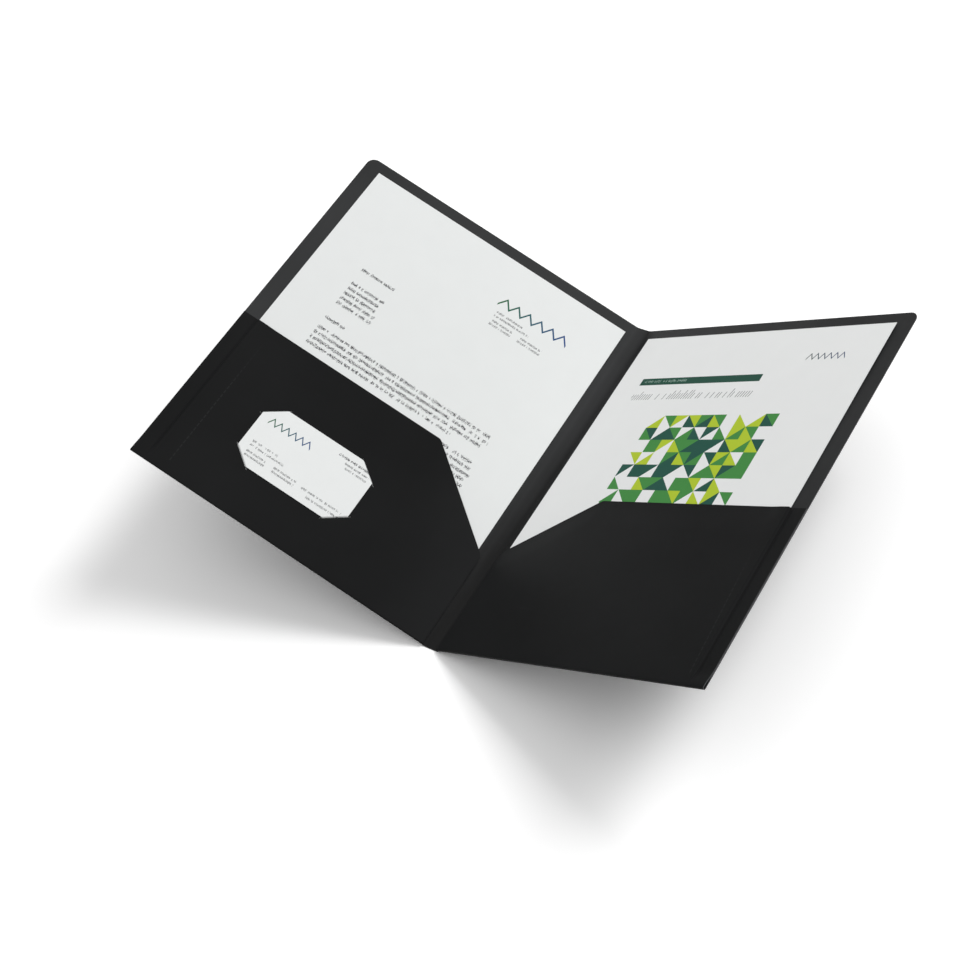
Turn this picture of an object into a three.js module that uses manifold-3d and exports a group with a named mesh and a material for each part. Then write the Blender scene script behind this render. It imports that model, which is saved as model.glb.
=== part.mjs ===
// A two-pocket folder of black polypropylene sheet, standing open in a V on its spine.
// One die-cut sheet makes the spine band, both covers and, folded up from their bottom
// edges, both pockets. Each pocket is welded to its cover along its outer side and open
// along its top, its slope and its spine side. A letter stands in the left pocket, a
// report in the right one, and a business card is held by four slits in the left pocket.
// +X runs towards the right cover, +Y along the spine to the folder's top edge, +Z up.
// The origin is on the floor, in the middle of the spine's flat underside.

import * as THREE from "three";
import { mergeVertices } from "three/addons/utils/BufferGeometryUtils.js";
import Module from "manifold-3d";

// Driving dimensions, in millimetres and degrees

// Folder sheet
const sheetThickness = 0.5;
const coverCornerRadius = 7;

// Spine and how far the folder is open
const coverTilt = 27; // rise of each cover from the floor
const spineFlat = 7; // width of the underside that rests on the floor
const bendRadius = 6; // of the sheet's middle layer, where the band curls up into a cover
const creaseGap = 0.6; // across the scored hinge line, where a cover turns

// Pockets
const pocketHeight = 131.2;
const pocketSpineInset = 6.5; // from the spine's middle to the pocket's inner edge
const slopeStartLeft = 74.9; // from the spine's middle to where the top edge turns down
const slopeStartRight = 70.3;
const slopeEndLeft = 74.7; // height of the slope's lower end, on the inner edge
const slopeEndRight = 82.9;
const slopeTopRadius = 4;
const slopeFootRadius = 9;
const weldWidth = 1;
const weldInset = 11.4; // from the outer edge to the middle of the weld
const weldTopMargin = 1.5; // the weld ends this far below the pocket's top edge

// Paper in the pockets
const layerGap = 0.3; // air between neighbouring layers
const paperThickness = 0.2;
const paperWidth = 215.9;
const paperHeight = 279.4;
const paperWeldClearance = 0.4;
const paperSpineInset = 10.7; // from the spine's middle to the paper's inner edge
const paperLift = 5.8; // from the folder's bottom edge to the paper's
const paperTopMargin = 9.4; // from the paper's top edge to the cover's

// Business card and its slits
const cardThickness = 0.3;
const cardWidth = 88.9;
const cardHeight = 50.8;
const cardCentreReach = 139.5; // from the spine's middle
const cardCentreHeight = 60;
const cardCutAlong = 13.5; // of a tucked corner, along the card's long edge
const cardCutUp = 10.5; // and along its short edge
const slitOverrun = 2.5; // of a slit past the card's edges, each way

// Values worked out from them

// The folder is cut to suit the paper. The reach is along the sheet, from the spine's
// middle to a cover's outer edge.
const paperOuterInset = weldInset + weldWidth / 2 + paperWeldClearance;
const coverReach = paperSpineInset + paperWidth + paperOuterInset;
const folderHeight = paperLift + paperHeight + paperTopMargin;

const halfSheet = sheetThickness / 2;
const tiltAngle = THREE.MathUtils.degToRad(coverTilt);
const bendAngle = tiltAngle / 2; // half of the curl is the band's, half the cover's
const lipAngle = bendAngle - creaseGap / 2 / bendRadius;
const bendRun = bendRadius * Math.sin(bendAngle);
const bendRise = bendRadius * (1 - Math.cos(bendAngle));
const bendLength = bendRadius * bendAngle;
const hingeX = spineFlat / 2 + bendRun;
const hingeZ = halfSheet + bendRise;

// In a cover's own frame the hinge line is the origin, x runs out along the cover and z
// is its inward normal. A reach is a distance along the sheet from the spine's middle.
const reachToX = (reach) => reach - spineFlat / 2 - 2 * bendLength + bendRun;
const innerFace = halfSheet - bendRise;
const outerFace = innerFace - sheetThickness;
const outerEdge = reachToX(coverReach);
const bottomEdge = -folderHeight / 2;
const topEdge = folderHeight / 2;

// The layers over a cover's inner face: paper, tucked card corners, pocket, card.
const paperBase = innerFace + layerGap;
const tuckedBase = paperBase + paperThickness + layerGap;
const pocketInner = tuckedBase + cardThickness + layerGap;
const pocketOuter = pocketInner + sheetThickness;
const cardBase = pocketOuter + layerGap;
const cardTop = cardBase + cardThickness;

const foldInnerRadius = (pocketInner - innerFace) / 2;
const foldOuterRadius = foldInnerRadius + sheetThickness;
const foldLine = bottomEdge + foldOuterRadius; // where the flat sheet meets the fold
const foldOverlap = 2; // the fold's legs run this far into the panels that they join
const arcSteps = 10;

const materials = {
  folder: { color: 0x1c1d1e, roughness: 0.55, metalness: 0 },
  paper: { color: 0xf0f1ee, roughness: 0.85, metalness: 0 },
};

// Solids

const wasm = await Module();
wasm.setup();

// Extrude a shape and lay it so that its x, y and depth run along the given axes.
function prism(shape, depth, [x, y, z], corner) {
  const geometry = new THREE.ExtrudeGeometry(shape, {
    depth,
    bevelEnabled: false,
    curveSegments: arcSteps,
  });
  geometry.applyMatrix4(new THREE.Matrix4().makeBasis(x, y, z).setPosition(corner));
  geometry.deleteAttribute("normal");
  geometry.deleteAttribute("uv");
  const merged = mergeVertices(geometry, 1e-5);
  return new wasm.Manifold(
    new wasm.Mesh({
      numProp: 3,
      vertProperties: Float32Array.from(merged.attributes.position.array),
      triVerts: Uint32Array.from(merged.index.array),
    }),
  );
}

const X = new THREE.Vector3(1, 0, 0);
const Y = new THREE.Vector3(0, 1, 0);
const Z = new THREE.Vector3(0, 0, 1);

// An outline seen from above, given a thickness from one height to another
const layer = (shape, from, to) => prism(shape, to - from, [X, Y, Z], new THREE.Vector3(0, 0, from));

// A section across the spine, drawn in x and z, run along it from one y to another
const alongSpine = (shape, from, to) =>
  prism(shape, to - from, [X, Z, Y.clone().negate()], new THREE.Vector3(0, to, 0));

// A section drawn in y and z, run along x from one place to another
const acrossCover = (shape, from, to) =>
  prism(shape, to - from, [Y, Z, X], new THREE.Vector3(from, 0, 0));

function meshOf(name, solid, material) {
  const { vertProperties, triVerts } = solid.getMesh();
  const geometry = new THREE.BufferGeometry();
  geometry.setAttribute("position", new THREE.BufferAttribute(vertProperties, 3));
  geometry.setIndex(new THREE.BufferAttribute(triVerts, 1));
  const flat = geometry.toNonIndexed();
  flat.computeVertexNormals();
  const mesh = new THREE.Mesh(flat, new THREE.MeshStandardMaterial(material));
  mesh.name = name;
  return mesh;
}

function rectangle(x0, y0, x1, y1) {
  return new THREE.Shape()
    .moveTo(x0, y0)
    .lineTo(x1, y0)
    .lineTo(x1, y1)
    .lineTo(x0, y1)
    .closePath();
}

// Round a corner of a path: run straight towards it, then curve past it to the next point
function roundCorner(path, before, corner, after, radius) {
  const into = new THREE.Vector2().subVectors(before, corner).normalize();
  const out = new THREE.Vector2().subVectors(after, corner).normalize();
  const half = into.angleTo(out) / 2;
  const setback = radius / Math.tan(half);
  const start = corner.clone().addScaledVector(into, setback);
  const end = corner.clone().addScaledVector(out, setback);
  const bisector = into.clone().add(out).normalize();
  const centre = corner.clone().addScaledVector(bisector, radius / Math.sin(half));
  const from = Math.atan2(start.y - centre.y, start.x - centre.x);
  const to = Math.atan2(end.y - centre.y, end.x - centre.x);
  const leftTurn = into.x * out.y - into.y * out.x < 0;
  path.lineTo(start.x, start.y);
  path.absarc(centre.x, centre.y, radius, from, to, !leftTurn);
}

// Spine band: flat in the middle, curling up at both sides to the scored hinge lines

function spineSection() {
  const half = spineFlat / 2;
  const centre = halfSheet + bendRadius;
  const down = -Math.PI / 2;
  const section = new THREE.Shape();
  section.moveTo(-half, 0);
  section.lineTo(half, 0);
  section.absarc(half, centre, bendRadius + halfSheet, down, down + lipAngle, false);
  section.absarc(half, centre, bendRadius - halfSheet, down + lipAngle, down, true);
  section.lineTo(-half, sheetThickness);
  section.absarc(-half, centre, bendRadius - halfSheet, down, down - lipAngle, true);
  section.absarc(-half, centre, bendRadius + halfSheet, down - lipAngle, down, false);
  return section;
}

const spine = alongSpine(spineSection(), bottomEdge, topEdge);

// Cover: the rest of the curl, then a flat panel with one rounded corner. The side is -1
// for the left cover and 1 for the right one.

function coverSection(side) {
  const centre = innerFace - halfSheet + bendRadius;
  const down = -Math.PI / 2;
  const lip = down - side * lipAngle;
  const clockwise = side > 0;
  const section = new THREE.Shape();
  section.moveTo(side * (outerEdge + 1), outerFace);
  section.lineTo(side * bendRun, outerFace);
  section.absarc(side * bendRun, centre, bendRadius + halfSheet, down, lip, clockwise);
  section.absarc(side * bendRun, centre, bendRadius - halfSheet, lip, down, !clockwise);
  section.lineTo(side * (outerEdge + 1), innerFace);
  return section;
}

function coverOutline(side) {
  const pocketEdge = side * reachToX(pocketSpineInset);
  const edge = side * outerEdge;
  const pastHinge = -side;
  const outline = new THREE.Shape();
  outline.moveTo(pastHinge, bottomEdge);
  outline.lineTo(pocketEdge, bottomEdge);
  outline.lineTo(pocketEdge, foldLine);
  outline.lineTo(edge, foldLine);
  roundCorner(
    outline,
    new THREE.Vector2(edge, foldLine),
    new THREE.Vector2(edge, topEdge),
    new THREE.Vector2(pastHinge, topEdge),
    coverCornerRadius,
  );
  outline.lineTo(pastHinge, topEdge);
  return outline;
}

// Pocket: full height at the outer edge, sloping down to a low rounded foot at the spine

function pocketOutline(side, slopeStart, slopeEnd) {
  const inner = side * reachToX(pocketSpineInset);
  const edge = side * outerEdge;
  const top = bottomEdge + pocketHeight;
  const foot = new THREE.Vector2(inner, bottomEdge + slopeEnd);
  const shoulder = new THREE.Vector2(side * reachToX(slopeStart), top);
  const outline = new THREE.Shape();
  outline.moveTo(edge, foldLine);
  outline.lineTo(edge, top);
  roundCorner(outline, new THREE.Vector2(edge, top), shoulder, foot, slopeTopRadius);
  roundCorner(outline, shoulder, foot, new THREE.Vector2(inner, foldLine), slopeFootRadius);
  outline.lineTo(inner, foldLine);
  return outline;
}

// The bottom fold: half a turn of sheet, with a leg into the cover and one into the pocket
function foldSection() {
  const centre = (innerFace + pocketInner) / 2;
  const up = Math.PI / 2;
  const legEnd = foldLine + foldOverlap;
  const section = new THREE.Shape();
  section.moveTo(legEnd, outerFace);
  section.lineTo(legEnd, innerFace);
  section.absarc(foldLine, centre, foldInnerRadius, -up, up, true);
  section.lineTo(legEnd, pocketInner);
  section.lineTo(legEnd, pocketOuter);
  section.absarc(foldLine, centre, foldOuterRadius, up, -up, false);
  return section;
}

// The weld: a line of sheet pressed together from the fold up to just below the mouth
function weldRib(side) {
  const middle = side * (outerEdge - weldInset);
  const sink = sheetThickness / 4;
  const shape = rectangle(
    middle - weldWidth / 2,
    bottomEdge + sheetThickness + sink,
    middle + weldWidth / 2,
    bottomEdge + pocketHeight - weldTopMargin,
  );
  return layer(shape, innerFace - sink, pocketInner + sink);
}

function coverWithPocket(side, slopeStart, slopeEnd, slits) {
  const outline = pocketOutline(side, slopeStart, slopeEnd);
  outline.holes.push(...slits);
  const panel = alongSpine(coverSection(side), bottomEdge - 1, topEdge + 1);
  const cover = panel.intersect(layer(coverOutline(side), outerFace - 1, innerFace + 1));
  const ends = [side * reachToX(pocketSpineInset), side * outerEdge];
  const fold = acrossCover(foldSection(), Math.min(...ends), Math.max(...ends));
  return cover.add(fold).add(layer(outline, pocketInner, pocketOuter)).add(weldRib(side));
}

// Business card: its face lies on the pocket, and each corner dips through a diagonal slit
// and lies behind the pocket. A corner is cut off by a line at `offset` beyond the slit.

const cardSide = -1;
const cardCentre = new THREE.Vector2(cardSide * reachToX(cardCentreReach), bottomEdge + cardCentreHeight);
const cardCorners = [[1, 1], [-1, 1], [-1, -1], [1, -1]];
const slitDepth = (cardCutAlong * cardCutUp) / Math.hypot(cardCutAlong, cardCutUp);

function cornerCut([sx, sy], offset) {
  const scale = 1 + offset / slitDepth;
  const corner = new THREE.Vector2(
    cardCentre.x + (sx * cardWidth) / 2,
    cardCentre.y + (sy * cardHeight) / 2,
  );
  const along = new THREE.Vector2(corner.x - sx * cardCutAlong * scale, corner.y);
  const up = new THREE.Vector2(corner.x, corner.y - sy * cardCutUp * scale);
  return { corner, along, up };
}

function cardSolid() {
  const half = cardThickness / 2;
  const face = [];
  for (const signs of cardCorners) {
    const { along, up } = cornerCut(signs, -half);
    face.push(...(signs[0] * signs[1] > 0 ? [up, along] : [along, up]));
  }
  let card = layer(new THREE.Shape(face), cardBase, cardTop);
  for (const signs of cardCorners) {
    const near = cornerCut(signs, -half);
    const far = cornerCut(signs, half);
    const tucked = new THREE.Shape([far.corner, far.along, far.up]);
    const dip = new THREE.Shape([near.along, far.along, far.up, near.up]);
    card = card.add(layer(dip, tuckedBase, cardTop));
    card = card.add(layer(tucked, tuckedBase, tuckedBase + cardThickness));
  }
  return card;
}

// One slit: a narrow slot with round ends, just wide enough for the card's corner to pass
function slitOutline(signs) {
  const { along, up } = cornerCut(signs, 0);
  const direction = new THREE.Vector2().subVectors(up, along).normalize();
  const start = along.clone().addScaledVector(direction, -slitOverrun);
  const end = up.clone().addScaledVector(direction, slitOverrun);
  const radius = cardThickness / 2 + layerGap;
  const angle = direction.angle();
  const quarter = Math.PI / 2;
  const slit = new THREE.Path();
  slit.absarc(end.x, end.y, radius, angle - quarter, angle + quarter, false);
  slit.absarc(start.x, start.y, radius, angle + quarter, angle + 3 * quarter, false);
  slit.closePath();
  return slit;
}

// Paper: one letter-size sheet in each pocket, its outer edge beside the weld

function paperSolid(side) {
  const outer = side * (outerEdge - paperOuterInset);
  const inner = outer - side * paperWidth;
  const bottom = bottomEdge + paperLift;
  const shape = rectangle(Math.min(outer, inner), bottom, Math.max(outer, inner), bottom + paperHeight);
  return layer(shape, paperBase, paperBase + paperThickness);
}

// Assembly: each cover turns about its hinge line and carries what its pocket holds

const slits = cardCorners.map(slitOutline);
const leftHinge = new THREE.Group();
leftHinge.position.set(-hingeX, 0, hingeZ);
leftHinge.rotation.y = tiltAngle;
leftHinge.add(
  meshOf("left_cover", coverWithPocket(-1, slopeStartLeft, slopeEndLeft, slits), materials.folder),
  meshOf("letter_sheet", paperSolid(-1), materials.paper),
  meshOf("business_card", cardSolid(), materials.paper),
);

const rightHinge = new THREE.Group();
rightHinge.position.set(hingeX, 0, hingeZ);
rightHinge.rotation.y = -tiltAngle;
rightHinge.add(
  meshOf("right_cover", coverWithPocket(1, slopeStartRight, slopeEndRight, []), materials.folder),
  meshOf("report_sheet", paperSolid(1), materials.paper),
);

const folder = new THREE.Group();
folder.add(meshOf("spine", spine, materials.folder), leftHinge, rightHinge);

export default folder;
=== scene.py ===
# A two-pocket folder of black polypropylene sheet, standing open on its spine, with a
# letter in the left pocket, a report in the right one and a business card in its slits.
# +X runs towards the right cover, +Y along the spine to the top edge, +Z up, in metres.

import math

import bpy
import numpy as np
from mathutils import Matrix


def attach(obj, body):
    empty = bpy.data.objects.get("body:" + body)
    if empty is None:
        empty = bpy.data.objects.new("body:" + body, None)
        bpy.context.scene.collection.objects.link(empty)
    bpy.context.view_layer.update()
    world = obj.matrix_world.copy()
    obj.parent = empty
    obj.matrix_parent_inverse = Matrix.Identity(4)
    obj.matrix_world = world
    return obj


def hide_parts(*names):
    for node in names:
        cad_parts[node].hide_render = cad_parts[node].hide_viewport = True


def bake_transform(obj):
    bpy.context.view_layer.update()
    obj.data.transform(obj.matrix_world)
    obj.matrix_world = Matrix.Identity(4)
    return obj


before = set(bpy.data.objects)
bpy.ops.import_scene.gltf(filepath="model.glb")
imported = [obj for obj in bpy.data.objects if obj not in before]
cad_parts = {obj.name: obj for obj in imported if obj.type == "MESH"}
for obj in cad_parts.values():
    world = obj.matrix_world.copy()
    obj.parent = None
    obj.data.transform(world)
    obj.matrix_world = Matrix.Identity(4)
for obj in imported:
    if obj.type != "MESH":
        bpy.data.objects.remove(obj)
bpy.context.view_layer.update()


# Folder sheet
# One die-cut sheet of half-millimetre polypropylene: the spine band, both covers and, folded
# up from their bottom edges, both pockets. It is scored where the covers turn, and each
# pocket is welded to its cover by one pressed line along the outer side.

mm = 0.001
sheet_thickness = 0.5
spine_half = 3.5  # half of the flat that rests on the table
curl_radius = 6.0  # of the sheet's middle layer
tilt = math.radians(27)
cover_reach = 238.9  # from the spine's middle along the sheet to the outer edge
half_height = 147.3
corner_radius = 7.0
pocket_height = 131.2
pocket_inset = 6.5  # from the spine's middle to the pocket's inner edge
pocket_rise = 1.9  # from the cover's middle layer to the pocket's
pocket_foot_radius = 9.0  # where the slope meets the inner edge
pocket_ease_radius = 4.0  # where the level top turns into the slope
fold_radius = 0.95  # of the sheet's middle layer
fold_outer = fold_radius + sheet_thickness / 2
fold_line = -half_height + fold_outer
fold_allowance = 1.0  # of sheet that the fold takes up, on the flat
pocket_start = half_height + 2.5  # down the flat sheet, past the fold
weld_inset = 11.4  # from the outer edge to the weld's middle
weld_reach = cover_reach - weld_inset
weld_depth = 1.36  # from the pocket's level down on to the cover
flange_lift = 0.25  # of the flange outside the weld, above the weld's level
edge_settling = 0.6  # of the pocket's free edge, towards the paper


def on_cover(side, reach, along, rise):
    """A point of a cover: it lies `reach` from the spine's middle along the sheet's middle
    layer, `along` the spine, and `rise` above that layer. The sheet runs flat for half of
    the spine, turns through the tilt about an axis one curl radius above it, and then
    runs straight on."""
    turn = np.clip((reach - spine_half) / curl_radius, 0, tilt)
    past = np.maximum(reach - spine_half - curl_radius * tilt, 0)
    lever = curl_radius - rise
    x = np.minimum(reach, spine_half) + lever * np.sin(turn) + past * np.cos(turn)
    z = sheet_thickness / 2 + curl_radius - lever * np.cos(turn) + past * np.sin(turn)
    return np.stack([side * x, along + 0 * x, z], axis=-1) * mm


def smooth(value):
    """A smooth step: three times the square less twice the cube, held between 0 and 1."""
    value = np.clip(value, 0, 1)
    return value * value * (3 - 2 * value)


def cover_top(reach):
    """The top edge, less a quarter circle at the outer corner."""
    past = np.clip(reach - (cover_reach - corner_radius), 0, corner_radius)
    return half_height - corner_radius + np.sqrt(corner_radius**2 - past**2)


def pocket_top(reach, start, end):
    """Height of the pocket's edge above the bottom. It is level outwards of `start`, and
    inwards it falls in a straight line to `end` on the inner edge. One arc eases the
    shoulder, and a wider one turns the foot of the slope into the inner edge."""
    wide, tight = pocket_foot_radius, pocket_ease_radius
    slope = math.atan2(pocket_height - end, start - pocket_inset)
    line = end + (reach - pocket_inset) * math.tan(slope)
    foot = wide * math.tan((math.pi / 2 - slope) / 2)
    foot_arc = end - foot + np.sqrt(np.maximum(wide**2 - (pocket_inset + wide - reach) ** 2, 0))
    ease = tight * math.tan(slope / 2)
    past = reach - (start + ease)
    shoulder_arc = pocket_height - tight + np.sqrt(np.maximum(tight**2 - past**2, 0))
    top = np.where(reach > start + ease, pocket_height, line)
    in_ease = (reach > start - ease * math.cos(slope)) & (reach <= start + ease)
    top = np.where(in_ease, shoulder_arc, top)
    return np.where(reach < pocket_inset + foot * math.cos(slope), foot_arc, top)


def pocket_lift(reach, height):
    """How far the pocket lies above the cover's middle layer: level over the paper, pressed
    on to the cover in the weld, and a little above the cover in the flange outside it."""
    welded = 1 - smooth((weld_reach + 0.4 - reach) / 1.8)
    flange = smooth((reach - weld_reach - 0.5) / 0.8)
    drop = welded * weld_depth - flange * flange_lift
    return pocket_rise - drop * smooth((height - 1.5) / 12)


def grid_faces(rows, columns, first=0):
    """Four-cornered faces of a grid whose points are counted row by row."""
    corner = first + np.arange(rows - 1)[:, None] * columns + np.arange(columns - 1)
    quads = [corner, corner + 1, corner + 1 + columns, corner + columns]
    return np.stack(quads, axis=-1).reshape(-1, 4)


def new_piece(name, points, faces, flat, materials):
    """A mesh object from points, faces and the place of each point on the flat sheet, which
    becomes its UV map. Its faces are numbered by the first material."""
    mesh = bpy.data.meshes.new(name)
    mesh.from_pydata(points.tolist(), [], faces.tolist())
    corners = np.empty(len(mesh.loops), dtype=np.int32)
    mesh.loops.foreach_get("vertex_index", corners)
    layer = mesh.uv_layers.new(name="sheet")
    layer.data.foreach_set("uv", flat[corners].astype(np.float32).ravel())
    for material in materials:
        mesh.materials.append(material)
    piece = bpy.data.objects.new(name, mesh)
    bpy.context.scene.collection.objects.link(piece)
    return piece


def settle(piece):
    """Put the modifiers' result into the piece's own mesh, smooth but for its cut edges."""
    seen = piece.evaluated_get(bpy.context.evaluated_depsgraph_get())
    finished = bpy.data.meshes.new_from_object(seen)
    piece.modifiers.clear()
    piece.data = finished
    finished.shade_smooth()
    finished.set_sharp_from_angle(angle=math.radians(35))


def half_folder(name, side, slope_start, slope_end, materials, bulge):
    """Half of the sheet on one grid. Its columns stand at set reaches from the spine's
    middle. Its rows run from the cover's top edge down to the fold, round it in a half
    circle, and up the pocket to its edge, which settles a little towards the paper. `bulge`
    adds to the pocket's lift. The grid is then given its thickness on both sides."""
    curl_end = spine_half + curl_radius * tilt
    turn = np.linspace(0, 1, 11)
    reach = np.unique(
        np.round(
            np.concatenate(
                [
                    [0, 1.2, 2.4, pocket_inset - 0.05],
                    spine_half + turn * (curl_end - spine_half),
                    pocket_inset + pocket_foot_radius * (1 - np.cos(turn * 0.9)),
                    np.arange(13, slope_start - 2, 2.0),
                    slope_start + np.linspace(-1.5, 1.6, 7),
                    np.arange(slope_start + 3, weld_reach - 3, 1.6),
                    np.arange(weld_reach - 2.2, weld_reach + 2, 0.2),
                    cover_reach - corner_radius + corner_radius * np.sin(turn * math.pi / 2),
                ]
            ),
            4,
        )
    )
    columns = len(reach)
    inside = reach < pocket_inset
    foot = np.where(inside, -half_height, fold_line)
    down = np.linspace(1, 0, 61)[:, None]
    cover_along = foot + (cover_top(reach) - foot) * down
    cover = on_cover(side, reach + 0 * cover_along, cover_along, 0)

    over = reach[~inside]
    round_fold = np.linspace(0, math.pi, 13)[1:, None]
    lift_scale = pocket_lift(over, 0) / pocket_rise
    fold_along = fold_line - fold_radius * np.sin(round_fold) + 0 * over
    fold_rise = fold_radius * (1 - np.cos(round_fold)) * lift_scale
    fold = on_cover(side, over + 0 * fold_along, fold_along, fold_rise)

    share = np.linspace(0, 1, 85)[1:, None]
    head = pocket_top(over, slope_start, slope_end)
    height = fold_outer + (head - fold_outer) * share
    free = smooth(1 - (head - height) / 22) * smooth((weld_reach - 4 - over) / 12)
    lift = pocket_lift(over + 0 * height, height) - edge_settling * free
    lift = lift + bulge(over + 0 * height, height)
    pocket = on_cover(side, over + 0 * height, height - half_height, lift)

    down_sheet = [round_fold * fold_radius + 0 * over, height + fold_allowance]
    unrolled = -half_height - np.concatenate(down_sheet)
    cover_flat = np.stack([reach + 0 * cover_along, cover_along], axis=-1)
    pocket_flat = np.stack([over + 0 * unrolled, unrolled], axis=-1)
    points = np.concatenate([cover.reshape(-1, 3), fold.reshape(-1, 3), pocket.reshape(-1, 3)])
    flat = np.concatenate([cover_flat.reshape(-1, 2), pocket_flat.reshape(-1, 2)]) * mm

    rows = len(down)
    panel = grid_faces(rows, columns)
    first = rows * columns
    folded = grid_faces(len(round_fold) + len(share), len(over), first)
    last_row = (rows - 1) * columns + np.flatnonzero(~inside)
    next_row = first + np.arange(len(over))
    seam = np.stack([last_row[:-1], last_row[1:], next_row[1:], next_row[:-1]], axis=-1)
    faces = np.concatenate([panel, seam, folded])
    if side > 0:
        faces = faces[:, ::-1]
    piece = new_piece(name, points, faces, flat, materials)
    wall = piece.modifiers.new("sheet", "SOLIDIFY")
    wall.thickness = sheet_thickness * mm
    wall.offset = 0
    wall.material_offset = 1
    wall.material_offset_rim = 2
    return piece


# Polypropylene finish, made once for both halves
# The sheet's inside face is satin and the outside face, which is also the front of the
# pockets, is duller. Both carry a fine embossed grain, rubbed patches and a few handling
# marks. Cut edges are painted paler as a painted highlight, and light and shade are
# painted on the covers and the spine band.


def add(tree, kind, inputs=None, **settings):
    """A shader node with its settings. An input is a number, a colour or another's output."""
    made = tree.nodes.new(kind)
    for name, value in settings.items():
        setattr(made, name, value)
    for name, value in (inputs or {}).items():
        if isinstance(value, bpy.types.NodeSocket):
            tree.links.new(value, made.inputs[name])
        else:
            made.inputs[name].default_value = value
    return made


def calc(tree, operation, *values):
    """The output of one arithmetic node."""
    inputs = dict(enumerate(values))
    return add(tree, "ShaderNodeMath", inputs, operation=operation).outputs[0]


def new_group(name, takes, gives):
    """An empty shader node group with named inputs and outputs, and its two end nodes."""
    group = bpy.data.node_groups.new(name, "ShaderNodeTree")
    for label, kind in takes:
        group.interface.new_socket(label, in_out="INPUT", socket_type="NodeSocket" + kind)
    for label, kind in gives:
        group.interface.new_socket(label, in_out="OUTPUT", socket_type="NodeSocket" + kind)
    return group, add(group, "NodeGroupInput").outputs, add(group, "NodeGroupOutput").inputs


def grain_group():
    """Embossed grain and wear. Grain is fine noise used as a height. Wear is broad noise,
    stretched along the sheet, that says how far the surface is rubbed."""
    group, taken, given = new_group(
        "sheet_grain",
        [("Place", "Vector"), ("Grains per metre", "Float")],
        [("Grain", "Float"), ("Wear", "Float"), ("Scuffs", "Float")],
    )
    grain = add(
        group,
        "ShaderNodeTexNoise",
        {"Vector": taken["Place"], "Scale": taken["Grains per metre"], "Detail": 3.0},
    )
    broad = add(
        group,
        "ShaderNodeTexNoise",
        {"Vector": taken["Place"], "Scale": 9.0, "Detail": 4.0},
    )
    stretched = add(
        group,
        "ShaderNodeMapping",
        {"Vector": taken["Place"], "Rotation": (0, 0, 0.6), "Scale": (14, 260, 90)},
    )
    streaks = add(
        group,
        "ShaderNodeTexNoise",
        {"Vector": stretched.outputs[0], "Scale": 1.0, "Detail": 5.0, "Roughness": 0.7},
    )
    scuffs = add(
        group,
        "ShaderNodeMapRange",
        {"Value": streaks.outputs[0], "From Min": 0.66, "From Max": 0.78},
    )
    group.links.new(grain.outputs[0], given["Grain"])
    group.links.new(broad.outputs[0], given["Wear"])
    group.links.new(scuffs.outputs[0], given["Scuffs"])
    return group


sheet_grain = grain_group()


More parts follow.
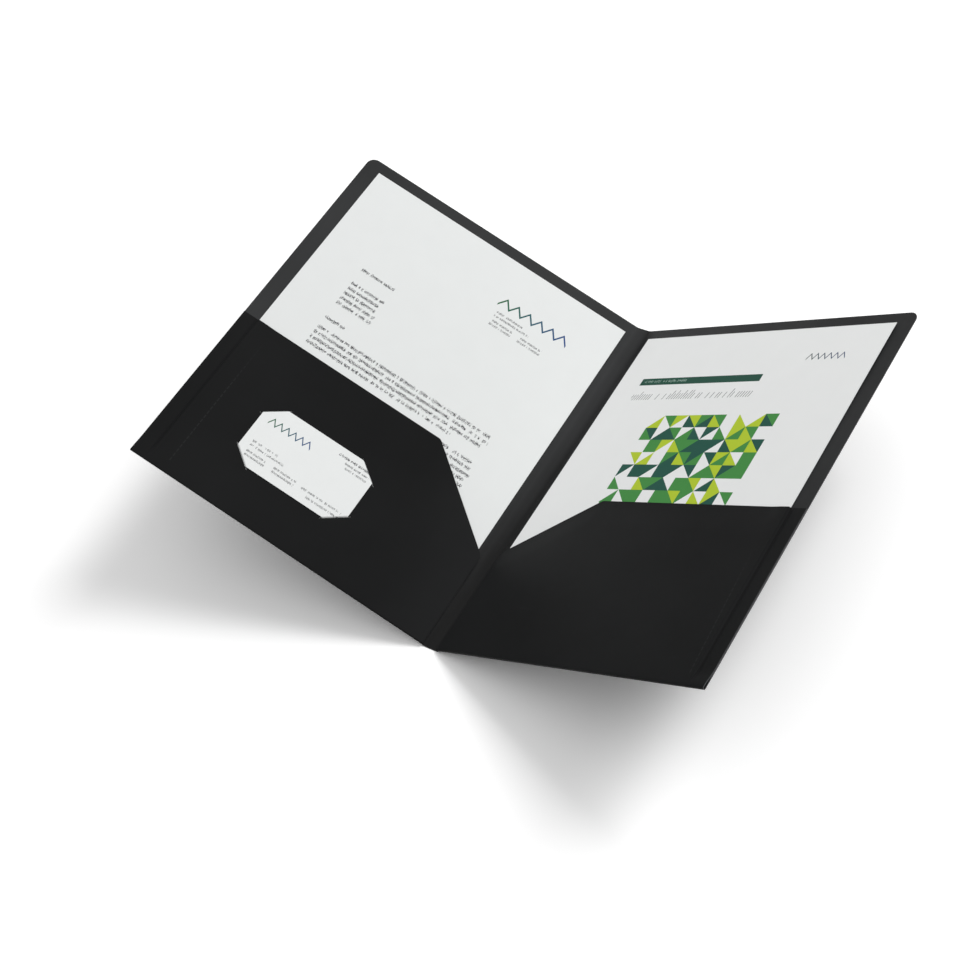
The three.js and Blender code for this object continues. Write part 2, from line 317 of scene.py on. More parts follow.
def polypropylene(name, dark, rubbed, roughness, specular, press=None, cover=0.0, band=0.0):
    """Black sheet: the colour goes from dark to rubbed with the wear. `press` holds a pressed
    line on the pocket: its reach at the bottom, how far it leans outwards with height, and
    the height where its paler dashes, a painted highlight, have faded out, in metres.
    `cover` paints light on the whole cover, or shade where it is negative, and `band` on
    the part beside the spine only. Both grow from nothing at the spine's middle, where the
    two halves meet. The band beside the spine is also painted darker towards its foot, as
    painted shade, and the pockets are made paler towards the spine."""
    material = bpy.data.materials.new(name)
    material.use_nodes = True
    tree = material.node_tree
    shader = tree.nodes["Principled BSDF"]
    shader.inputs["Specular IOR Level"].default_value = specular
    place = add(tree, "ShaderNodeTexCoord").outputs["Object"]
    grain = add(tree, "ShaderNodeGroup", node_tree=sheet_grain)
    tree.links.new(place, grain.inputs["Place"])
    grain.inputs["Grains per metre"].default_value = 2600.0
    flat = add(tree, "ShaderNodeUVMap", uv_map="sheet").outputs[0]
    parts = add(tree, "ShaderNodeSeparateXYZ", {0: flat}).outputs
    on_pocket = calc(tree, "LESS_THAN", parts[1], -pocket_start * mm)
    scuffed = calc(tree, "MULTIPLY", grain.outputs["Scuffs"], 0.5)
    tone = calc(tree, "ADD", grain.outputs["Wear"], scuffed)
    # The pressed line is real. Its dashes are painted paler, a painted highlight that fades out up
    # the pocket.
    if press:
        start, lean, top = press
        down = calc(tree, "MULTIPLY", parts[1], -1.0)
        above = calc(tree, "SUBTRACT", down, (half_height + fold_allowance) * mm)
        line = calc(tree, "ADD", start, calc(tree, "MULTIPLY", above, lean))
        from_line = calc(tree, "ABSOLUTE", calc(tree, "SUBTRACT", parts[0], line))
        on_line = calc(tree, "LESS_THAN", from_line, 0.0004)
        beat = calc(tree, "FRACT", calc(tree, "MULTIPLY", above, 260.0))
        dash = calc(tree, "MULTIPLY", on_line, calc(tree, "GREATER_THAN", beat, 0.3))
        fading = add(
            tree,
            "ShaderNodeMapRange",
            {"Value": above, "From Min": 0.02, "From Max": top, "To Min": 2.4, "To Max": 0.0},
        ).outputs[0]
        started = calc(tree, "GREATER_THAN", above, 0.009)
        marks = calc(tree, "MULTIPLY", calc(tree, "MULTIPLY", dash, fading), started)
        tone = calc(tree, "ADD", tone, marks)
    # The pockets are made paler towards the spine.
    paler_by_spine = add(
        tree,
        "ShaderNodeMapRange",
        {"Value": parts[0], "From Min": 0.0, "From Max": 0.08, "To Min": 0.5, "To Max": 0.0},
        interpolation_type="SMOOTHSTEP",
    ).outputs[0]
    tone = calc(tree, "ADD", tone, calc(tree, "MULTIPLY", paler_by_spine, on_pocket))
    near_spine = add(
        tree,
        "ShaderNodeMapRange",
        {"Value": parts[0], "From Min": 0.006, "From Max": 0.016, "To Min": 1.0, "To Max": 0.0},
        interpolation_type="SMOOTHSTEP",
    ).outputs[0]
    # Painted shade: the band beside the spine, on the covers, turns darker towards its foot.
    lower = add(
        tree,
        "ShaderNodeMapRange",
        {"Value": parts[1], "From Min": -0.07, "From Max": 0.06, "To Min": 0.8, "To Max": 0.0},
        interpolation_type="SMOOTHSTEP",
    ).outputs[0]
    in_band = calc(tree, "MULTIPLY", near_spine, calc(tree, "SUBTRACT", 1.0, on_pocket))
    tone = calc(tree, "SUBTRACT", tone, calc(tree, "MULTIPLY", in_band, lower))
    # Painted light and shade: `cover` and `band` make one cover's colour paler or darker, giving a
    # lit or a shaded copy of the same sheet.
    if cover or band:
        off_middle = add(
            tree,
            "ShaderNodeMapRange",
            {"Value": parts[0], "From Min": 0.0, "From Max": 0.006, "To Min": 0.0, "To Max": 1.0},
            interpolation_type="SMOOTHSTEP",
        ).outputs[0]
        painted_light_shift = calc(tree, "ADD", calc(tree, "MULTIPLY", in_band, band), cover)
        tone = calc(tree, "ADD", tone, calc(tree, "MULTIPLY", painted_light_shift, off_middle))
    colour = add(
        tree,
        "ShaderNodeMapRange",
        {"Value": tone, "From Min": -0.3, "From Max": 1.6, "To Min": dark, "To Max": rubbed},
    ).outputs[0]
    tinted = add(tree, "ShaderNodeCombineColor")
    tree.links.new(calc(tree, "MULTIPLY", colour, 0.97), tinted.inputs[0])
    tree.links.new(colour, tinted.inputs[1])
    tree.links.new(calc(tree, "MULTIPLY", colour, 1.03), tinted.inputs[2])
    tree.links.new(tinted.outputs[0], shader.inputs["Base Color"])
    duller, glossier = roughness + 0.04, roughness - 0.05
    gloss = add(
        tree,
        "ShaderNodeMapRange",
        {"Value": tone, "From Min": 0.3, "From Max": 0.8, "To Min": duller, "To Max": glossier},
    ).outputs[0]
    tree.links.new(gloss, shader.inputs["Roughness"])
    bump = add(
        tree,
        "ShaderNodeBump",
        {"Height": grain.outputs["Grain"], "Strength": 0.35, "Distance": 0.00008},
    )
    tree.links.new(bump.outputs[0], shader.inputs["Normal"])
    return material


inside_look = {"dark": 0.003, "rubbed": 0.050, "roughness": 0.40, "specular": 0.25}
outside_look = {"dark": 0.002, "rubbed": 0.018, "roughness": 0.50, "specular": 0.10}
# Cut edges are painted paler: a painted highlight along the sheet's rims.
rim_highlight = polypropylene("sheet_cut_edge", dark=0.040, rubbed=0.080, roughness=0.55, specular=0.5)


# Right half
# The spine band's right half, the right cover and its plain pocket, as one run of the
# folded sheet. The pocket's front shows a faint pressed line beside the weld, its dashes
# painted paler as a painted highlight.

right_slope_start = 70.3  # from the spine's middle to where the level top turns down
right_slope_end = 82.9  # height of the slope's lower end
right_press = (0.2247, -0.065, 0.100)
right_materials = [
    # The right inside is painted darker: painted shade.
    polypropylene("sheet_right_inside_painted_shade", **inside_look, cover=-0.16, band=-0.35),
    polypropylene("sheet_right_outside", **outside_look, press=right_press),
    rim_highlight,
]


def level(reach, height):
    """No bulge anywhere."""
    return 0 * reach


right_half = half_folder(
    "folder_right_half", 1, right_slope_start, right_slope_end, right_materials, level
)
settle(right_half)
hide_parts("right_cover", "spine")
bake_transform(right_half)


# Left half and its card slits
# The left half is the same sheet with four diagonal slits die-cut through its pocket. Beyond
# each slit the sheet is pushed up a little by the card's corner, which lies behind it.

left_slope_start = 74.9
left_slope_end = 74.7
left_press = (0.2135, 0.0, 0.120)
card_size = np.array([88.9, 50.8])
card_middle = np.array([139.5, 60.0])  # reach, and height above the bottom edge
card_cut = np.array([13.5, 10.5])  # of each corner, along and up
card_signs = [(1, 1), (-1, 1), (-1, -1), (1, -1)]
slit_length = 22.1
slit_width = 0.9
lip_rise = 0.5


def beyond_slit(reach, height, signs):
    """Signed distances from a slit: `out` grows towards the card's corner, square to the
    slit, and `side` runs along the slit from its middle."""
    corner = card_middle + np.array(signs) * card_size / 2
    across = np.array([card_cut[1] * signs[0], card_cut[0] * signs[1]])
    across = across / np.hypot(*across)
    middle = corner - np.array(signs) * card_cut / 2
    out = (reach - middle[0]) * across[0] + (height - middle[1]) * across[1]
    side = (reach - middle[0]) * -across[1] + (height - middle[1]) * across[0]
    return out, side


def lip_bulge(reach, height):
    """Beyond each slit the pocket rises in a smooth step and settles again with distance."""
    total = 0 * reach
    for signs in card_signs:
        out, side = beyond_slit(reach, height, signs)
        rise = smooth((out + 0.2) / 1.6) * np.exp(-((np.maximum(out, 0) / 9) ** 2))
        total = total + lip_rise * rise * np.exp(-((side / 9) ** 4))
    return total


def slit_cutter():
    """Four slots through the pocket: a ring of points round each, straight sides with half
    circles at the ends, at one depth under the pocket and one above it."""
    ring = 24
    angle = np.linspace(0, 2 * math.pi, ring, endpoint=False)
    half = (slit_length - slit_width) / 2
    along = np.where(np.cos(angle) > 0, half, -half) + np.cos(angle) * slit_width / 2
    across = np.sin(angle) * slit_width / 2
    points, faces = [], []
    for number, signs in enumerate(card_signs):
        corner = card_middle + np.array(signs) * card_size / 2
        out = np.array([card_cut[1] * signs[0], card_cut[0] * signs[1]])
        out = out / np.hypot(*out)
        middle = corner - np.array(signs) * card_cut / 2
        reach = middle[0] + along * -out[1] + across * out[0]
        height = middle[1] + along * out[0] + across * out[1]
        for rise in (pocket_rise - 0.7, pocket_rise + 1.2):
            points.append(on_cover(-1, reach, height - half_height, rise))
        first = number * 2 * ring
        step = np.arange(ring)
        after = (step + 1) % ring
        upper = first + ring
        walls = np.stack([first + step, first + after, upper + after, upper + step], -1)
        faces += walls.tolist() + [(first + step[::-1]).tolist(), (upper + step).tolist()]
    mesh = bpy.data.meshes.new("slit_cutter")
    mesh.from_pydata(np.concatenate(points).tolist(), [], faces)
    cutter = bpy.data.objects.new("slit_cutter", mesh)
    bpy.context.scene.collection.objects.link(cutter)
    return cutter


left_materials = [
    # The left inside is painted paler: painted light.
    polypropylene("sheet_left_inside_painted_light", **inside_look, cover=0.16, band=0.10),
    polypropylene("sheet_left_outside", **outside_look, press=left_press),
    rim_highlight,
]
left_half = half_folder(
    "folder_left_half", -1, left_slope_start, left_slope_end, left_materials, lip_bulge
)
cutter = slit_cutter()
slits = left_half.modifiers.new("slits", "BOOLEAN")
slits.operation = "DIFFERENCE"
slits.solver = "EXACT"
slits.object = cutter
settle(left_half)
bpy.data.meshes.remove(cutter.data)
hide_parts("left_cover", "spine")
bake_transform(left_half)


# Letter
# A sheet of letter paper that stands in the left pocket. It is laid paper with a letterhead
# at its top right and typed paragraphs, which are shown as rows of plain marks.

paper_width = 215.9
paper_height = 279.4
paper_foot = 5.8  # from the folder's bottom edge
paper_thickness = 0.2
paper_rise = 0.65  # of its middle, above the cover's middle layer
paper_top_lift = 0.5  # more than that at the top edge
letter_outer = weld_reach - 0.9  # clear of the weld


def slab(name, reach, height, rise, side, thickness, read_from, materials):
    """A thin sheet on a grid of reaches and heights. Its top and bottom are the same grid
    half a thickness above and below `rise`, joined round the rim. The UV map holds the
    distance right and down from the corner where reading starts."""
    columns, rows = len(reach), len(height)
    across, up = np.meshgrid(reach, height)
    top = on_cover(side, across, up - half_height, rise(across, up) + thickness / 2)
    bottom = on_cover(side, across, up - half_height, rise(across, up) - thickness / 2)
    count = columns * rows
    upper = grid_faces(rows, columns)
    lower = upper[:, ::-1] + count
    rim = np.concatenate(
        [
            np.arange(columns),
            np.arange(2, rows + 1) * columns - 1,
            (rows - 1) * columns + np.arange(columns - 2, -1, -1),
            np.arange(rows - 2, 0, -1) * columns,
        ]
    )
    after = np.roll(rim, -1)
    wall = np.stack([rim + count, after + count, after, rim], axis=-1)
    faces = np.concatenate([upper, lower, wall])
    if side < 0:
        faces = faces[:, ::-1]
    right = (across - read_from[0]) * side
    flat = np.stack([right, read_from[1] - up], axis=-1).reshape(-1, 2) * mm
    points = np.concatenate([top.reshape(-1, 3), bottom.reshape(-1, 3)])
    piece = new_piece(name, points, faces, np.concatenate([flat, flat]), materials)
    piece.data.shade_smooth()
    piece.data.set_sharp_from_angle(angle=math.radians(35))
    return piece


def within(tree, value, top=1.0):
    """1 where a value lies between 0 and `top`, else 0."""
    return calc(
        tree,
        "MULTIPLY",
        calc(tree, "GREATER_THAN", value, 0.0),
        calc(tree, "LESS_THAN", value, top),
    )


def share_of(tree, place, start, length):
    """How far a place lies along a length that begins at `start`, from 0 to 1."""
    return calc(tree, "DIVIDE", calc(tree, "SUBTRACT", place, start), length)


def rows_group():
    """Rows of typed text as plain marks. The distance down over the pitch gives the row, and
    its remainder, cut into 14 steps, the height in the row. Narrow cells along the row are
    inked by chance: often in the middle band, seldom above and below it, and never in the
    wider cells that part the words. Each row ends at its own place."""
    names = ("Right", "Down", "Left", "Width", "Top", "Rows", "Pitch", "Ragged", "Stroke")
    group, taken, given = new_group("typed_rows", [(n, "Float") for n in names], [("Ink", "Float")])
    place = share_of(group, taken["Down"], taken["Top"], taken["Pitch"])
    row = calc(group, "FLOOR", place)
    step = calc(group, "FLOOR", calc(group, "MULTIPLY", calc(group, "SUBTRACT", place, row), 14.0))
    from_middle = calc(group, "ABSOLUTE", calc(group, "SUBTRACT", step, 4.0))
    along = calc(group, "SUBTRACT", taken["Right"], taken["Left"])
    cell = calc(group, "FLOOR", calc(group, "DIVIDE", along, taken["Stroke"]))
    word_cell = calc(group, "FLOOR", calc(group, "DIVIDE", cell, 3.0))
    block = calc(group, "MULTIPLY", taken["Top"], 977.0)

    def chance(*key):
        """A random number from 0 to 1 that stays the same for the same three numbers."""
        spot = add(group, "ShaderNodeCombineXYZ", dict(enumerate(key))).outputs[0]
        noise = add(group, "ShaderNodeTexWhiteNoise", {"Vector": spot}, noise_dimensions="3D")
        return noise.outputs[0]

    level_key = calc(group, "ADD", calc(group, "MULTIPLY", row, 20.0), step)
    beyond = calc(group, "MULTIPLY", calc(group, "GREATER_THAN", from_middle, 2.5), 0.36)
    bar = calc(group, "ADD", 0.44, beyond)
    bar = calc(group, "ADD", bar, calc(group, "GREATER_THAN", from_middle, 4.5))
    share = calc(group, "DIVIDE", along, taken["Width"])
    shorter = calc(group, "MULTIPLY", chance(row, block, 3.0), taken["Ragged"])
    masks = [
        calc(group, "GREATER_THAN", chance(cell, level_key, block), bar),
        calc(group, "GREATER_THAN", chance(word_cell, row, block), 0.17),
        within(group, place, taken["Rows"]),
        within(group, share, calc(group, "SUBTRACT", 1.0, shorter)),
    ]
    ink = masks[0]
    for mask in masks[1:]:
        ink = calc(group, "MULTIPLY", ink, mask)
    group.links.new(ink, given["Ink"])
    return group


typed_rows = rows_group()


def box_group():
    """A plain printed box: Ink is 1 where both shares, along and down, lie inside it."""
    group, taken, given = new_group(
        "printed_box",
        [(n, "Float") for n in ("Right", "Down", "Left", "Width", "Top", "Height")],
        [("Ink", "Float")],
    )
    along = share_of(group, taken["Right"], taken["Left"], taken["Width"])
    drop = share_of(group, taken["Down"], taken["Top"], taken["Height"])
    ink = calc(group, "MULTIPLY", within(group, along), within(group, drop))
    group.links.new(ink, given["Ink"])
    return group


printed_box = box_group()


def zigzag_group():
    """A fine zigzag line, the plain ornament of a heading. Half a step either way from the
    middle of each cell gives a triangle wave, and ink lies within a line's width of it."""
    names = ("Right", "Down", "Left", "Width", "Middle", "Height", "Count")
    outputs = [("Ink", "Float"), ("Along", "Float")]
    group, taken, given = new_group("zigzag_line", [(n, "Float") for n in names], outputs)
    along = share_of(group, taken["Right"], taken["Left"], taken["Width"])
    step = calc(group, "FRACT", calc(group, "MULTIPLY", along, taken["Count"]))
    from_middle = calc(group, "ABSOLUTE", calc(group, "SUBTRACT", step, 0.5))
    wave = calc(group, "MULTIPLY", calc(group, "SUBTRACT", from_middle, 0.25), 2.0)
    drop = share_of(group, taken["Down"], taken["Middle"], taken["Height"])
    away = calc(group, "ABSOLUTE", calc(group, "SUBTRACT", drop, wave))
    ink = calc(group, "MULTIPLY", calc(group, "LESS_THAN", away, 0.15), within(group, along))
    group.links.new(ink, given["Ink"])
    group.links.new(along, given["Along"])
    return group


zigzag_line = zigzag_group()


class Print:
    """Ink laid on a sheet's colour, one layer after another, by place on the sheet."""

    def __init__(self, name, colour, roughness):
        self.material = bpy.data.materials.new(name)
        self.material.use_nodes = True
        self.tree = self.material.node_tree
        self.shader = self.tree.nodes["Principled BSDF"]
        self.shader.inputs["Specular IOR Level"].default_value = 0.25
        place = add(self.tree, "ShaderNodeTexCoord").outputs["Object"]
        flat = add(self.tree, "ShaderNodeUVMap", uv_map="sheet").outputs[0]
        parts = add(self.tree, "ShaderNodeSeparateXYZ", {0: flat}).outputs
        self.right, self.down = parts[0], parts[1]
        broad = {"Vector": place, "Scale": 60.0, "Detail": 6.0}
        fine = {"Vector": place, "Scale": 1800.0, "Detail": 4.0}
        mottle = add(self.tree, "ShaderNodeTexNoise", broad)
        fibre = add(self.tree, "ShaderNodeTexNoise", fine)
        self.colour = add(
            self.tree,
            "ShaderNodeMix",
            {0: mottle.outputs[0], 6: [c * 0.965 for c in colour] + [1], 7: list(colour) + [1]},
            data_type="RGBA",
        ).outputs[2]
        rough = add(
            self.tree,
            "ShaderNodeMapRange",
            {"Value": fibre.outputs[0], "To Min": roughness - 0.08, "To Max": roughness + 0.08},
        )
        self.tree.links.new(rough.outputs[0], self.shader.inputs["Roughness"])
        bump = add(
            self.tree,
            "ShaderNodeBump",
            {"Height": fibre.outputs[0], "Strength": 0.25, "Distance": 0.00005},
        )
        self.tree.links.new(bump.outputs[0], self.shader.inputs["Normal"])

    def lay(self, ink, colour):
        """Put a colour over what is there, as far as `ink` goes."""
        if not isinstance(colour, bpy.types.NodeSocket):
            colour = list(colour) + [1]
        layers = {0: ink, 6: self.colour, 7: colour}
        self.colour = add(self.tree, "ShaderNodeMix", layers, data_type="RGBA").outputs[2]

    def motif(self, group, lengths, numbers=None):
        """A print group placed on this sheet. Lengths are in millimetres."""
        made = add(self.tree, "ShaderNodeGroup", node_tree=group)
        self.tree.links.new(self.right, made.inputs["Right"])
        self.tree.links.new(self.down, made.inputs["Down"])
        for name, value in lengths.items():
            made.inputs[name].default_value = value * mm
        for name, value in (numbers or {}).items():
            made.inputs[name].default_value = value
        return made.outputs

    def rows(self, left, top, width, rows, pitch, colour, ragged=0.0, stroke=0.42, ink=1.0):
        """Rows of typed marks, of which `ragged` is the most that a row may fall short."""
        lengths = {"Left": left, "Width": width, "Top": top, "Pitch": pitch, "Stroke": stroke}
        made = self.motif(typed_rows, lengths, {"Rows": rows, "Ragged": ragged})
        self.lay(calc(self.tree, "MULTIPLY", made["Ink"], ink), colour)

    def fade(self, along, colours):
        """A colour that goes from the first to the second along a motif."""
        inputs = {0: along, 6: list(colours[0]) + [1], 7: list(colours[1]) + [1]}
        return add(self.tree, "ShaderNodeMix", inputs, data_type="RGBA").outputs[2]

    def box(self, left, top, width, height, colour):
        """A filled box."""
        lengths = {"Left": left, "Width": width, "Top": top, "Height": height}
        self.lay(self.motif(printed_box, lengths)["Ink"], colour)

    def zigzag(self, left, middle, width, height, colours):
        """A zigzag line of six teeth that fades from one colour to the other."""
        lengths = {"Left": left, "Width": width, "Middle": middle, "Height": height}
        made = self.motif(zigzag_line, lengths, {"Count": 6.0})
        self.lay(made["Ink"], self.fade(made["Along"], colours))

    def done(self):
        """The finished material."""
        self.tree.links.new(self.colour, self.shader.inputs["Base Color"])
        return self.material


black_ink = (0.03, 0.03, 0.035)
heading_inks = [(0.03, 0.13, 0.05), (0.03, 0.07, 0.22)]

letter_print = Print("letter_paper", (0.75, 0.765, 0.76), 0.75)
letter_print.zigzag(128, 35, 58, 7, heading_inks)
small = {"colour": black_ink, "stroke": 0.3, "ink": 0.8}
for left, top, width, rows in [
    (131, 43.4, 22, 1),
    (131, 46.9, 29, 1),
    (131, 51.4, 18, 2),
    (155, 51.4, 19, 2),
]:
    letter_print.rows(left, top, width, rows, pitch=3.3, **small)
for left, top, width, rows, ragged in [
    (34.6, 74, 27.6, 1, 0.0),
    (34.6, 87.6, 40, 5, 0.4),
    (34.8, 121.5, 17, 1, 0.0),
    (34.8, 130.6, 147, 3, 0.04),
    (34.8, 145.0, 120, 1, 0.0),
    (34.8, 154.6, 148, 6, 0.05),
    (34.8, 188.2, 146, 4, 0.05),
]:
    letter_print.rows(left, top, width, rows, 4.8, black_ink, ragged=ragged)
letter_material = letter_print.done()


def paper_lie(reach, height):
    """The paper lies level in the pocket. Above it the sheet is free, and it lifts slightly
    towards its top edge."""
    free = smooth((height - pocket_height - 10) / 140)
    return paper_rise + paper_top_lift * free


paper_reach = np.linspace(letter_outer - paper_width, letter_outer, 55)
paper_up = np.linspace(paper_foot, paper_foot + paper_height, 71)
letter = slab(
    "letter_paper_sheet",
    paper_reach,
    paper_up,
    paper_lie,
    -1,
    paper_thickness,
    (letter_outer, paper_foot + paper_height),
    [letter_material],
)
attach(letter, "left_cover")
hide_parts("letter_sheet")


# Report
# A printed sheet in the right pocket: a dark title bar, a pale title line and a field of
# half-square triangles in greens, printed on smooth bright paper.

title_box = {"Left": 22, "Width": 109, "Top": 53.5, "Height": 8}
tile_size = 11
bare_share = 0.28  # of the triangles, which stay unprinted


def triangle_group():
    """Square tiles split on a diagonal. The tile's number and the half's number choose a
    tone from 0 to 1, and the diagonal turns from tile to tile."""
    group, taken, given = new_group(
        "triangle_tiles",
        [("Right", "Float"), ("Down", "Float"), ("Tile", "Float")],
        [("Tone", "Float")],
    )
    x = calc(group, "DIVIDE", taken["Right"], taken["Tile"])
    y = calc(group, "DIVIDE", taken["Down"], taken["Tile"])
    column, row = calc(group, "FLOOR", x), calc(group, "FLOOR", y)
    u, v = calc(group, "SUBTRACT", x, column), calc(group, "SUBTRACT", y, row)
    odd = calc(group, "MODULO", calc(group, "ADD", column, row), 2.0)
    rising = calc(group, "GREATER_THAN", u, v)
    falling = calc(group, "GREATER_THAN", calc(group, "ADD", u, v), 1.0)
    half = calc(
        group,
        "ADD",
        calc(group, "MULTIPLY", odd, rising),
        calc(group, "MULTIPLY", calc(group, "SUBTRACT", 1.0, odd), falling),
    )
    key = add(group, "ShaderNodeCombineXYZ", {0: column, 1: row, 2: half}).outputs[0]
    tone = add(group, "ShaderNodeTexWhiteNoise", {"Vector": key}, noise_dimensions="3D").outputs[0]
    group.links.new(tone, given["Tone"])
    return group


def stroke_group():
    """A title shown as slanted strokes: the distance right plus a share of the distance
    down, over the spacing, has a small remainder. Chance leaves out some whole cells and
    starts most of the others lower down."""
    names = ("Right", "Down", "Spacing", "Top", "Height")
    takes = [(n, "Float") for n in names]
    group, taken, given = new_group("slanted_strokes", takes, [("Ink", "Float")])
    lean = calc(group, "ADD", taken["Right"], calc(group, "MULTIPLY", taken["Down"], 0.3))
    place = calc(group, "DIVIDE", lean, taken["Spacing"])
    cell = calc(group, "FLOOR", place)
    thin = calc(group, "LESS_THAN", calc(group, "SUBTRACT", place, cell), 0.24)
    key = add(group, "ShaderNodeCombineXYZ", {0: cell}).outputs[0]
    drawn = add(group, "ShaderNodeTexWhiteNoise", {"Vector": key}, noise_dimensions="3D").outputs[0]
    drop = share_of(group, taken["Down"], taken["Top"], taken["Height"])
    low = calc(group, "MULTIPLY", calc(group, "GREATER_THAN", drawn, 0.4), 0.34)
    ink = calc(group, "MULTIPLY", thin, calc(group, "GREATER_THAN", drawn, 0.14))
    ink = calc(group, "MULTIPLY", ink, calc(group, "GREATER_THAN", drop, low))
    group.links.new(ink, given["Ink"])
    return group


report_print = Print("report_paper", (0.83, 0.84, 0.835), 0.62)
report_print.zigzag(159.5, 27, 31, 5, [(0.06, 0.09, 0.08), (0.04, 0.07, 0.16)])
report_print.box(22, 41, 109, 6.4, (0.016, 0.075, 0.050))
report_print.rows(25, 42.6, 42, 1, 4.2, (0.30, 0.42, 0.36), stroke=0.4, ink=0.8)
title_lengths = {"Spacing": 2.2, "Top": title_box["Top"], "Height": title_box["Height"]}
title = report_print.motif(stroke_group(), title_lengths)
band = report_print.motif(printed_box, title_box)
title_ink = calc(report_print.tree, "MULTIPLY", title["Ink"], band["Ink"])
report_print.lay(title_ink, (0.12, 0.13, 0.13))
tiles = report_print.motif(triangle_group(), {"Tile": tile_size})
greens = add(report_print.tree, "ShaderNodeValToRGB", {0: tiles["Tone"]})
greens.color_ramp.interpolation = "CONSTANT"
stops = [
    (0.0, (0.44, 0.57, 0.03)),
    (0.50, (0.055, 0.25, 0.055)),
    (0.78, (0.014, 0.085, 0.060)),
]
while len(greens.color_ramp.elements) < len(stops):
    greens.color_ramp.elements.new(1.0)
for element, (position, colour) in zip(greens.color_ramp.elements, stops):
    element.position = position
    element.color = list(colour) + [1]
field = report_print.motif(
    printed_box,
    {"Left": 5 * tile_size, "Width": 10 * tile_size, "Top": 7 * tile_size, "Height": 8 * tile_size},
)
coloured = calc(report_print.tree, "GREATER_THAN", tiles["Tone"], bare_share)
report_print.lay(calc(report_print.tree, "MULTIPLY", field["Ink"], coloured), greens.outputs[0])
report_material = report_print.done()

report = slab(
    "report_paper_sheet",
    paper_reach,
    paper_up,
    paper_lie,
    1,
    paper_thickness,
    (letter_outer - paper_width, paper_foot + paper_height),
    [report_material],
)
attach(report, "right_cover")
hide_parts("report_sheet")


# Business card
# A card of stiff white board. Its face lies on the left pocket, and each corner bends down
# through a slit and lies behind the pocket's sheet.

card_thickness = 0.3
card_gap = 0.3  # of air between the card and the pocket's sheet
card_off = sheet_thickness / 2 + card_gap + card_thickness / 2
card_above = pocket_rise + card_off
card_behind = pocket_rise - card_off
card_fine = card_cut + 3  # how far in from each end its grid is close
card_step = 0.35


def card_lie(reach, height):
    """The card's height above the cover: its face level, less a smooth step down across
    each slit."""
    drop = 0 * reach
    for signs in card_signs:
        out = beyond_slit(reach, height, signs)[0]
        drop = np.maximum(drop, smooth((out + 0.6) / 1.2))
    return card_above - (card_above - card_behind) * drop


def fine_ends(middle, size, fine, step):
    """Places along one side of the card: close together at both ends, wide in between."""
    near = np.arange(0, fine, step)
    between = np.linspace(fine, size - fine, 14)
    places = np.concatenate([near, between, size - near[::-1]])
    return middle - size / 2 + places


card_print = Print("card_board", (0.795, 0.81, 0.805), 0.6)
card_print.zigzag(7, 13, 34, 5, heading_inks)
card_print.rows(59, 4.6, 27, 1, 3.4, black_ink, stroke=0.4)
for left, top, width, rows in [
    (6.5, 31.2, 20, 1),
    (6.5, 34.6, 27, 1),
    (7, 39.4, 16, 2),
    (29, 39.4, 18, 2),
    (66, 8.4, 19, 2),
    (52, 40.4, 32, 1),
    (58, 44.4, 26, 1),
]:
    card_print.rows(left, top, width, rows, pitch=3.1, **small)
card = slab(
    "business_card_board",
    fine_ends(card_middle[0], card_size[0], card_fine[0], card_step),
    fine_ends(card_middle[1], card_size[1], card_fine[1], card_step),
    card_lie,
    -1,
    card_thickness,
    (card_middle[0] + card_size[0] / 2, card_middle[1] + card_size[1] / 2),
    [card_print.done()],
)
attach(card, "left_cover")
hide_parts("business_card")


# Table, light and camera
# A white table top under a bright plain room, with a large soft lamp behind the folder and,
# at the same place, a weak one that alone shows in the sheet's gloss. The camera stands in
# front, to the right and above.

table_reach = 40.0
signs = [(-1, -1), (1, -1), (1, 1), (-1, 1)]
table_corners = [(x * table_reach, y * table_reach, 0) for x, y in signs]
table_mesh = bpy.data.meshes.new("table")
table_mesh.from_pydata(table_corners, [], [(0, 1, 2, 3)])
table = bpy.data.objects.new("table", table_mesh)
bpy.context.scene.collection.objects.link(table)
table_finish = bpy.data.materials.new("table_white")
table_finish.use_nodes = True
table_shader = table_finish.node_tree.nodes["Principled BSDF"]
table_shader.inputs["Base Color"].default_value = (1.15, 1.15, 1.15, 1)
table_shader.inputs["Roughness"].default_value = 0.9
table_shader.inputs["Specular IOR Level"].default_value = 0.1
table_mesh.materials.append(table_finish)

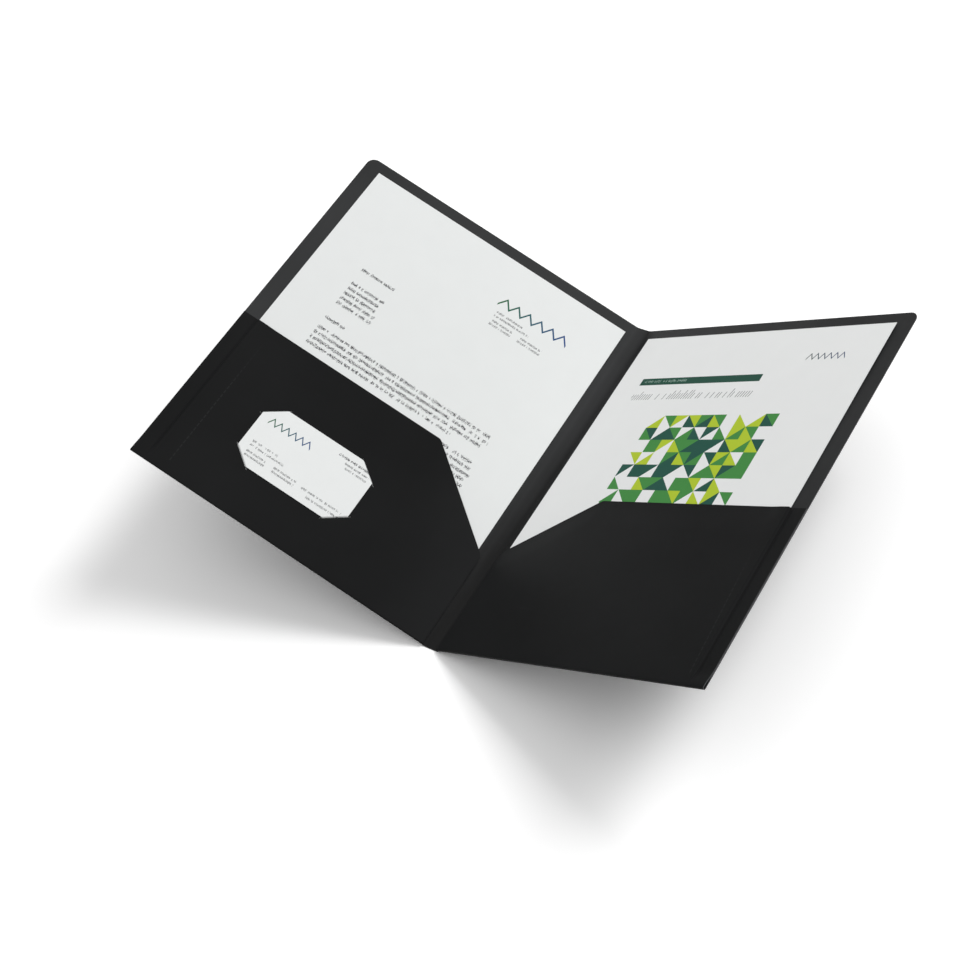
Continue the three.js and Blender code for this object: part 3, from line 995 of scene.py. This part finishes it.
room = bpy.data.worlds.new("room")
bpy.context.scene.world = room
room.use_nodes = True
direction = add(room.node_tree, "ShaderNodeTexCoord").outputs["Generated"]
height_up = add(room.node_tree, "ShaderNodeSeparateXYZ", {0: direction}).outputs[2]
brightness = add(
    room.node_tree,
    "ShaderNodeMapRange",
    {"Value": height_up, "From Min": 0.0, "From Max": 1.0, "To Min": 0.05, "To Max": 0.88},
).outputs[0]
seen = add(room.node_tree, "ShaderNodeLightPath").outputs["Is Camera Ray"]
backdrop = calc(room.node_tree, "MAXIMUM", brightness, calc(room.node_tree, "MULTIPLY", seen, 0.76))
room.node_tree.links.new(backdrop, room.node_tree.nodes["Background"].inputs[1])
room.node_tree.nodes["Background"].inputs[0].default_value = (1, 1, 1, 1)


def soft_light(name, place, size, power, mirrored):
    """A square lamp at a place in metres, turned to face the folder. `mirrored` says
    whether it shows in glossy surfaces."""
    lamp = bpy.data.lights.new(name, "AREA")
    lamp.shape = "SQUARE"
    lamp.size = size
    lamp.energy = power
    stand = bpy.data.objects.new(name, lamp)
    toward = np.array([0, 0, 0.05]) - np.array(place)
    back = -toward / np.linalg.norm(toward)
    side = np.cross([0, 0, 1], back)
    side = side / np.linalg.norm(side)
    turned = Matrix(np.stack([side, np.cross(back, side), back], axis=1).tolist()).to_4x4()
    stand.matrix_world = Matrix.Translation(place) @ turned
    stand.visible_glossy = mirrored
    bpy.context.scene.collection.objects.link(stand)


lamp_place = (1.38, 2.00, 2.62)
soft_light("key_light", lamp_place, size=1.3, power=72, mirrored=False)
soft_light("sheen_light", lamp_place, size=1.6, power=6, mirrored=True)

# Solved by least squares from the folder's corners and edges as seen from the front.
lens = bpy.data.cameras.new("camera")
lens.lens = 63.106
lens.shift_y = -60 / 971
lens.sensor_width = 36
lens.clip_end = 50
camera = bpy.data.objects.new("camera", lens)
forward = np.array([-0.466467, 0.447047, -0.763254])
rightward = np.array([0.831899, 0.514953, -0.206804])
upward = np.cross(rightward, forward)
turned = Matrix(np.stack([rightward, upward, -forward], axis=1).tolist()).to_4x4()
camera.matrix_world = Matrix.Translation((0.50380, -0.51853, 0.92911)) @ turned
bpy.context.scene.collection.objects.link(camera)
bpy.context.scene.camera = camera
bpy.context.scene.view_settings.view_transform = "Standard"
